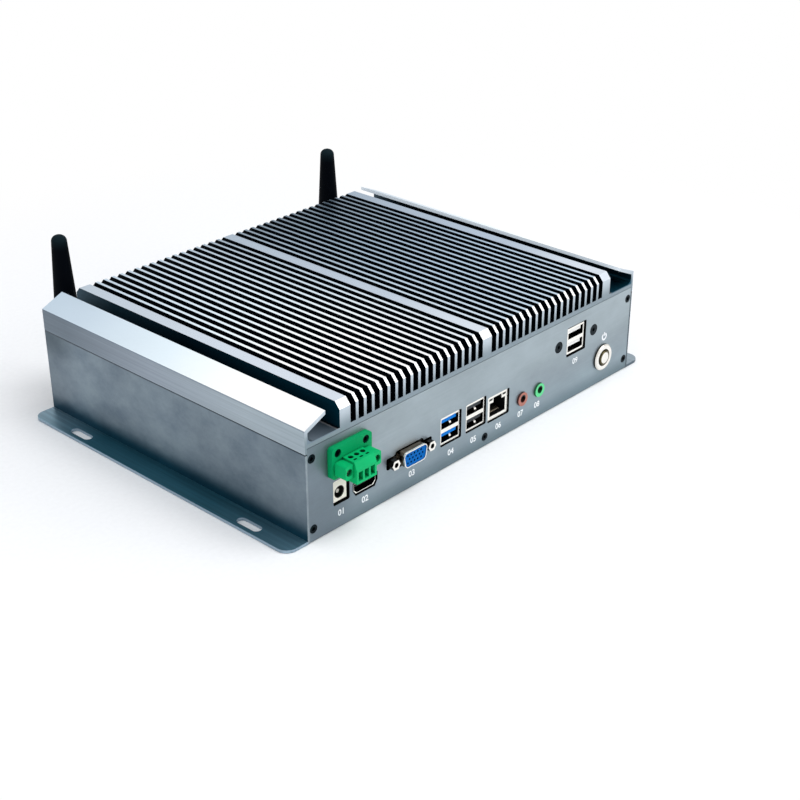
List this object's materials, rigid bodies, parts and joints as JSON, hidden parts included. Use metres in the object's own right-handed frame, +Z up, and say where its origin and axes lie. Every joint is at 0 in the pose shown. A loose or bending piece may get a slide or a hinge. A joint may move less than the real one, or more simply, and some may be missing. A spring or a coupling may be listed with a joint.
{
  "type": "fanless industrial computer",
  "caption": "Flat box computer with a finned heatsink lid, flanged base ears with slots, port panels at both ends and swivelling rear antennas, for running machine controls without a fan.",
  "frame": {"origin": "middle of the underside of the bottom plate", "axes": "+Z up through the fins, -Y out of the front panel with the power button, +X to the right as seen from the front"},
  "size_m": [0.271, 0.2246, 0.0862],
  "materials": {
    "aluminium_fins": "blasted and anodised, bright fin tips",
    "aluminium_case": "fine satin",
    "brushed_panel": "brushed along the panel",
    "black_screw": "black oxide",
    "green_plastic": "moulded green",
    "steel_screw": "plated",
    "cream_plastic": "moulded",
    "pin_metal": "plated",
    "nickel_shell": "nickel plated sheet",
    "nickel_screw": "nickel plated",
    "black_plastic": "moulded",
    "blue_plastic": "moulded",
    "white_plastic": "moulded",
    "light_window": "clear window",
    "pink_plastic": "moulded",
    "lime_plastic": "moulded",
    "gold": "gold plated",
    "serial_pin_metal": "gold plated",
    "black_rubber": "smooth moulded",
    "button_metal": "turned",
    "circuit_board": "fibreglass board",
    "heat_metal": "machined",
    "grey_pad": "soft pad",
    "drive_case": "pressed case",
    "bracket_steel": "zinc plated sheet",
    "lead_jacket": "thin coaxial lead"
  },
  "bodies": {
    "chassis": {"heatsink_cover": "aluminium_fins", "side_wall_left": "aluminium_case", "side_wall_right": "aluminium_case", "bottom_plate": "aluminium_case", "front_panel": "brushed_panel", "rear_panel": "brushed_panel", "panel_screws": "black_screw", "case_screws": "black_screw", "usb_fixing_screws": "black_screw", "terminal_flange_screws": "black_screw", "terminal_header": "green_plastic", "terminal_plug": "green_plastic", "terminal_plug_screws": "steel_screw", "board_screws": "steel_screw", "board_spacers": "steel_screw", "dc_jack": "cream_plastic", "dc_jack_pin": "pin_metal", "hdmi_shell": "nickel_shell", "vga_shell": "nickel_shell", "usb3_shell": "nickel_shell", "usb2_shell": "nickel_shell", "lan_shell": "nickel_shell", "panel_usb_shells": "nickel_shell", "serial_shells": "nickel_shell", "vga_jackscrews": "nickel_screw", "serial_jackscrews": "nickel_screw", "hdmi_tongue": "black_plastic", "usb2_tongues": "black_plastic", "lan_insert": "black_plastic", "serial_insulators": "black_plastic", "memory_socket": "black_plastic", "vga_insulator": "blue_plastic", "usb3_tongues": "blue_plastic", "panel_usb_tongues": "white_plastic", "lan_lights": "light_window", "mic_jack": "pink_plastic", "line_jack": "lime_plastic", "antenna_jacks": "gold", "antenna_jack_nuts": "gold", "antenna_coupling_nuts": "gold", "serial_pins": "serial_pin_metal", "power_button_bezel": "button_metal", "power_button_nut": "button_metal", "mainboard": "circuit_board", "panel_usb_boards": "circuit_board", "serial_board": "circuit_board", "memory_module": "circuit_board", "radio_card": "circuit_board", "heat_block": "heat_metal", "processor": "heat_metal", "thermal_pad": "grey_pad", "drive": "drive_case", "drive_bracket": "bracket_steel", "antenna_leads": "lead_jacket"},
    "power_button": {"power_button_cap": "button_metal"},
    "antenna_left": {"antenna_left_elbow": "gold", "antenna_left_rod": "black_rubber"},
    "antenna_right": {"antenna_right_elbow": "gold", "antenna_right_rod": "black_rubber"}
  },
  "joints": [
    {"name": "power_button_press", "type": "slide", "parent": "chassis", "child": "power_button", "axis": [0, 1, 0], "range_m": [0, 0.0015], "stiffness_N_per_m": 800, "springref_m": -0.002},
    {"name": "antenna_left_swivel", "type": "hinge", "parent": "chassis", "child": "antenna_left", "pos_m": [-0.0978, 0.111, 0.0342], "axis": [0, 1, 0], "range_deg": [-90, 90]},
    {"name": "antenna_right_swivel", "type": "hinge", "parent": "chassis", "child": "antenna_right", "pos_m": [0.0966, 0.111, 0.0342], "axis": [0, 1, 0], "range_deg": [-90, 90]}
  ]
}
